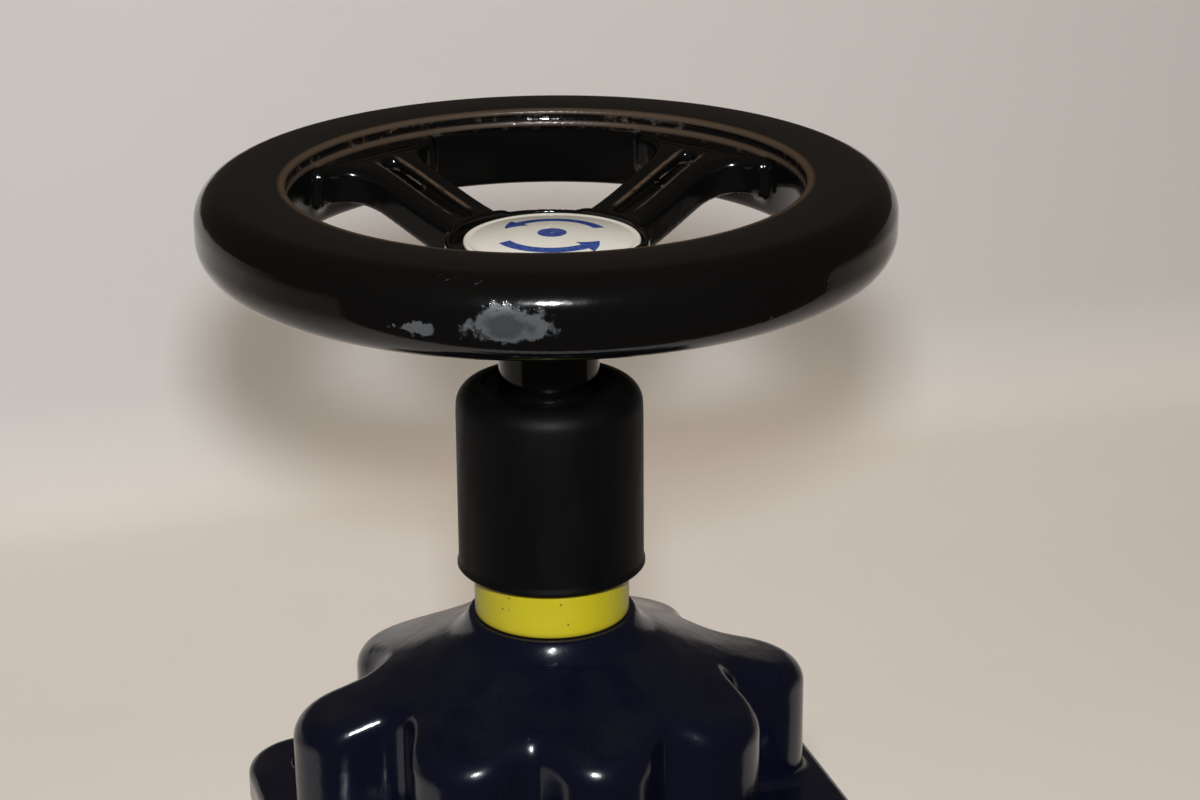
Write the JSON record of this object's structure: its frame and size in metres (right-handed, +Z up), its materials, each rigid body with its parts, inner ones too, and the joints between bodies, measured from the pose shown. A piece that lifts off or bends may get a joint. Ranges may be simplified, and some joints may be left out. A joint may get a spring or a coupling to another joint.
{
  "type": "gate valve",
  "caption": "Flanged gate valve with a lobed bonnet, a rubber-faced wedge and a non-rising stem turned by a spoked handwheel.",
  "frame": {"origin": "middle of the two flange feet, on the surface that the valve stands on", "axes": "+Z up along the stem, towards the handwheel; the pipe bore runs along Y; +X along the bonnet's long side"},
  "size_m": [0.165, 0.16, 0.3228],
  "materials": {
    "blue_coating": "dark blue glossy epoxy coating on ductile iron",
    "black_paint": "glossy black enamel, worn to grey primer in places",
    "black_rubber": "matte black rubber",
    "yellow_plastic": "satin yellow plastic",
    "white_plastic": "off-white glossy plastic",
    "steel": "zinc-plated steel",
    "stainless": "turned stainless steel",
    "brass": "machined brass",
    "cast_iron": "bare ductile iron"
  },
  "bodies": {
    "valve_body": {"back_seal": "black_rubber", "body_casting": "blue_coating", "bonnet": "blue_coating", "bonnet_gasket": "black_rubber", "bonnet_screws": "steel", "bushing_outer_orings": "black_rubber", "indicator_ring": "yellow_plastic", "inlet_branch": "blue_coating", "lower_thrust_washer": "white_plastic", "outlet_branch": "blue_coating", "retaining_ring": "steel", "screw_seal_plugs": "black_rubber", "stem_bushing": "brass", "stem_orings": "black_rubber", "upper_thrust_washer": "white_plastic", "wiper_ring": "black_rubber"},
    "stem_and_handwheel": {"stem": "stainless", "handwheel_rim": "black_paint", "handwheel_spider": "black_paint", "handwheel_boss": "black_paint", "hub_washer": "steel", "hub_screw": "steel", "hub_cap": "white_plastic", "dust_sleeve": "black_rubber"},
    "wedge": {"wedge_core": "cast_iron", "wedge_rubber": "black_rubber", "wedge_nut": "brass", "wedge_shoes": "white_plastic"}
  },
  "joints": [
    {"name": "handwheel_turn", "type": "hinge", "parent": "valve_body", "child": "stem_and_handwheel", "pos_m": [0, 0, 0.3125], "axis": [0, 0, 1], "range_deg": [0, 5040]},
    {"name": "wedge_lift", "type": "slide", "parent": "valve_body", "child": "wedge", "axis": [0, 0, 1], "range_m": [0, 0.0561]}
  ],
  "couplings": [
    {"joint": "wedge_lift", "follows": "handwheel_turn", "m_per_rad": 0.00063662}
  ]
}
